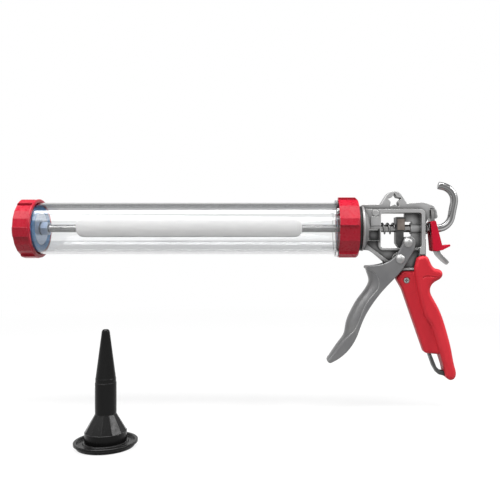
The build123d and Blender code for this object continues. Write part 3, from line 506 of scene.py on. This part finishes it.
def add_springs():
    steel = drawn_steel("spring_steel", low=grey(0.16), high=grey(0.28), roughness=(0.26, 0.42),
                        stretch=EVENLY)
    for node, sizes in SPRINGS.items():
        wound = coil(node + "_wire", steel, **sizes)
        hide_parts(node)
        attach(wound, "frame")
        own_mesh(wound)


def strip_points():
    """Points of the strip in columns, closer together at its rounded ends."""
    start, end = STRIP_X
    middle = (STRIP_Z[0] + STRIP_Z[1]) / 2
    half_width = (STRIP_Z[1] - STRIP_Z[0]) / 2
    reach = TUBE_RADIUS + STRIP_STAND
    points = []
    for column in range(STRIP_COLUMNS + 1):
        x = start + (end - start) * (1 - math.cos(math.pi * column / STRIP_COLUMNS)) / 2
        into_corner = max(STRIP_CORNER - min(x - start, end - x), 0.0)
        half_height = half_width - STRIP_CORNER + math.sqrt(max(STRIP_CORNER ** 2 - into_corner ** 2, 0.0))
        for row in range(STRIP_ROWS + 1):
            z = middle + half_height * (2 * row / STRIP_ROWS - 1)
            points.append((x, -math.sqrt(reach ** 2 - z ** 2), z))
    return points


def add_strip():
    """Blank strip wrapped on the tube."""
    faces = []
    for column in range(STRIP_COLUMNS):
        for row in range(STRIP_ROWS):
            a = column * (STRIP_ROWS + 1) + row
            b = a + STRIP_ROWS + 1
            faces.append((a, b, b + 1, a + 1))
    strip = mesh_piece("tube_strip", strip_points(), faces, frosted_strip())
    shell = strip.modifiers.new("thickness", "SOLIDIFY")
    shell.thickness = STRIP_THICKNESS
    shell.offset = 1.0
    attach(strip, "barrel")


def seen_directly(tree):
    """1 for what the camera, a mirror reflection or clear plastic shows."""
    path = add_node(tree, "ShaderNodeLightPath").outputs
    through = maths(tree, "MAXIMUM", path["Is Camera Ray"], path["Is Transmission Ray"])
    return maths(tree, "MAXIMUM", through, path["Is Glossy Ray"])


def mix_shaders(tree, share, first, second):
    mixed = add_node(tree, "ShaderNodeMixShader", {0: share, 1: first.outputs[0], 2: second.outputs[0]})
    return mixed.outputs[0]


def add_world():
    """White round the horizon and below, greyer overhead, with little light of its own."""
    world = bpy.data.worlds.new("studio")
    world.use_nodes = True
    tree = world.node_tree
    tree.nodes.clear()
    height = along_axis(tree, add_node(tree, "ShaderNodeTexCoord").outputs["Generated"], "Z")
    sky = ramp(tree, height, *zip(SKY_HEIGHTS, map(grey, SKY_TONES)))
    light = add_node(tree, "ShaderNodeBackground", {"Color": WHITE, "Strength": AMBIENT})
    seen = add_node(tree, "ShaderNodeBackground", {"Color": sky, "Strength": 1.0})
    add_node(tree, "ShaderNodeOutputWorld", {"Surface": mix_shaders(tree, seen_directly(tree), light, seen)})
    bpy.context.scene.world = world


def pale_floor():
    """Matt floor that turns plain white away from the gun."""
    made = bpy.data.materials.new("pale_floor")
    made.use_nodes = True
    tree = made.node_tree
    tree.nodes.clear()
    seen = seen_directly(tree)
    tone = spread(tree, seen, to=FLOOR_TONES, over=(0.0, 1.0))
    matt = add_node(tree, "ShaderNodeBsdfDiffuse", {"Color": tone})
    white = add_node(tree, "ShaderNodeEmission", {"Color": WHITE, "Strength": 1.0})
    away = vector_maths(tree, "DISTANCE", own_place(tree), FLOOR_MIDDLE, result="Value")
    share = maths(tree, "MULTIPLY", seen, spread(tree, away, to=FLOOR_WHITE, over=FLOOR_WHITE_REACH))
    add_node(tree, "ShaderNodeOutputMaterial", {"Surface": mix_shaders(tree, share, matt, white)})
    return made


def add_floor():
    signs = ((-1, -1), (1, -1), (1, 1), (-1, 1))
    corners = [(x * FLOOR_REACH, y * FLOOR_REACH, FLOOR_Z - FLOOR_DROP) for x, y in signs]
    floor = mesh_piece("floor", corners, [(0, 1, 2, 3)], pale_floor(), smooth=False)


def add_lamps():
    for name, (place, size, watts) in LAMPS.items():
        data = bpy.data.lights.new(name, "AREA")
        data.shape = "RECTANGLE"
        data.size, data.size_y = size
        data.energy = watts
        lamp = bpy.data.objects.new(name, data)
        bpy.context.scene.collection.objects.link(lamp)
        lamp.location = place
        lamp.rotation_mode = "QUATERNION"
        lamp.rotation_quaternion = (Vector(LIGHT_TARGET) - Vector(place)).to_track_quat("-Z", "Y")


def add_camera():
    data = bpy.data.cameras.new("camera")
    data.sensor_width = SENSOR
    data.lens = SENSOR * FOCAL_PIXELS / PHOTO_SIZE
    data.shift_x, data.shift_y = CAMERA_SHIFT
    data.clip_start = CAMERA_NEAR
    camera = bpy.data.objects.new("camera", data)
    bpy.context.scene.collection.objects.link(camera)
    camera.location = CAMERA_PLACE
    camera.rotation_euler = (math.pi / 2, 0, 0)
    bpy.context.scene.camera = camera


paint_castings()
paint_plastics()
paint_rubber()
paint_steel()
add_springs()
add_strip()
add_world()
add_floor()
add_lamps()
add_camera()
bpy.context.scene.view_settings.view_transform = "Standard"
